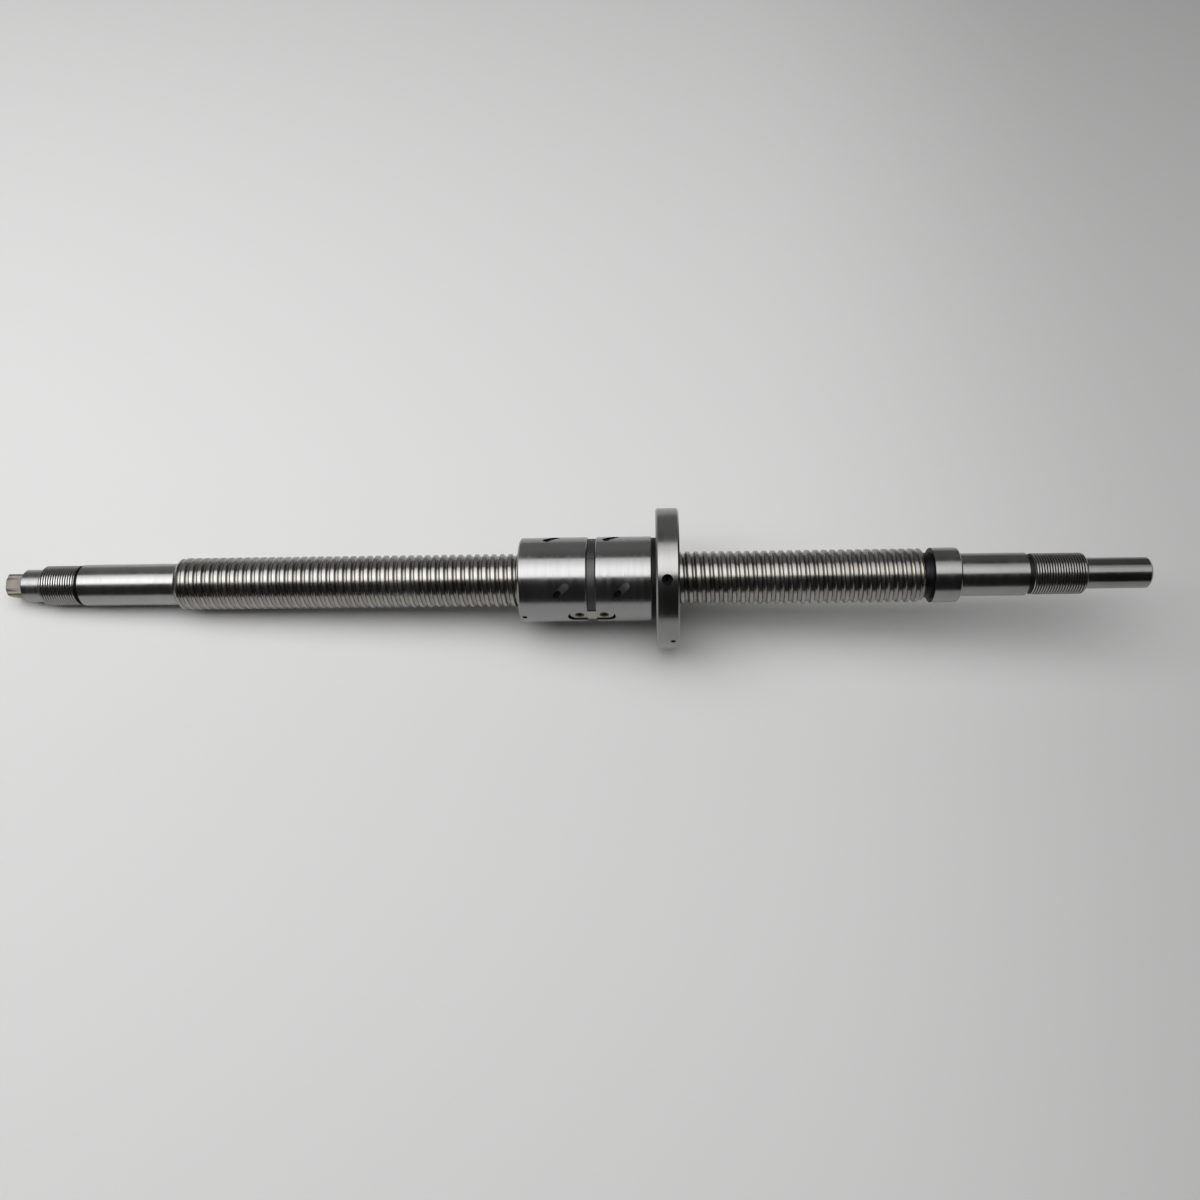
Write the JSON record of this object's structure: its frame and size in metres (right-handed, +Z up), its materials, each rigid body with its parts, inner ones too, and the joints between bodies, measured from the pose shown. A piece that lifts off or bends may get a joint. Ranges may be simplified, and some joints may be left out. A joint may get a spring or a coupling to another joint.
{
  "type": "ball screw assembly",
  "caption": "Ground ball screw with machined journals and a preloaded double ball nut: plain nut, split spacer and flanged nut joined by a key.",
  "frame": {"origin": "on the shaft axis, at the shoulder between the collar and the fixed-side bearing seat", "axes": "+X along the shaft axis towards the drive journal, +Z up, the nuts' key faces -Y"},
  "size_m": [0.6782, 0.083, 0.083],
  "materials": {
    "shaft_steel": "ground",
    "nut_steel": "ground",
    "spacer_steel": "satin",
    "key_steel": "satin",
    "screw_steel": "black oxide",
    "deflector_steel": "satin",
    "ball_steel": "polished",
    "wiper_plastic": "matt"
  },
  "bodies": {
    "shaft": {"screw_shaft": "shaft_steel"},
    "wipers": {"wiper_left": "wiper_plastic", "wiper_right": "wiper_plastic"},
    "nut": {"nut_flanged": "nut_steel", "nut_flange": "nut_steel", "nut_plain": "nut_steel", "spacer_front": "spacer_steel", "spacer_back": "spacer_steel", "key": "key_steel", "key_screws": "screw_steel", "wiper_screws": "screw_steel", "deflector_a1": "deflector_steel", "deflector_a2": "deflector_steel", "deflector_a3": "deflector_steel", "deflector_a4": "deflector_steel", "deflector_b1": "deflector_steel", "deflector_b2": "deflector_steel", "deflector_b3": "deflector_steel", "deflector_b4": "deflector_steel", "balls_a1": "ball_steel", "balls_a2": "ball_steel", "balls_a3": "ball_steel", "balls_a4": "ball_steel", "balls_b1": "ball_steel", "balls_b2": "ball_steel", "balls_b3": "ball_steel", "balls_b4": "ball_steel"}
  },
  "joints": [
    {"name": "nut_travel", "type": "slide", "parent": "shaft", "child": "wipers", "axis": [1, 0, 0], "range_m": [-0.2001, 0.1401]},
    {"name": "nut_spin", "type": "hinge", "parent": "wipers", "child": "nut", "pos_m": [-0.21, 0, 0], "axis": [1, 0, 0], "range_deg": [-14400, 10080]}
  ],
  "couplings": [
    {"joint": "nut_travel", "follows": "nut_spin", "m_per_rad": 0.00079577}
  ]
}
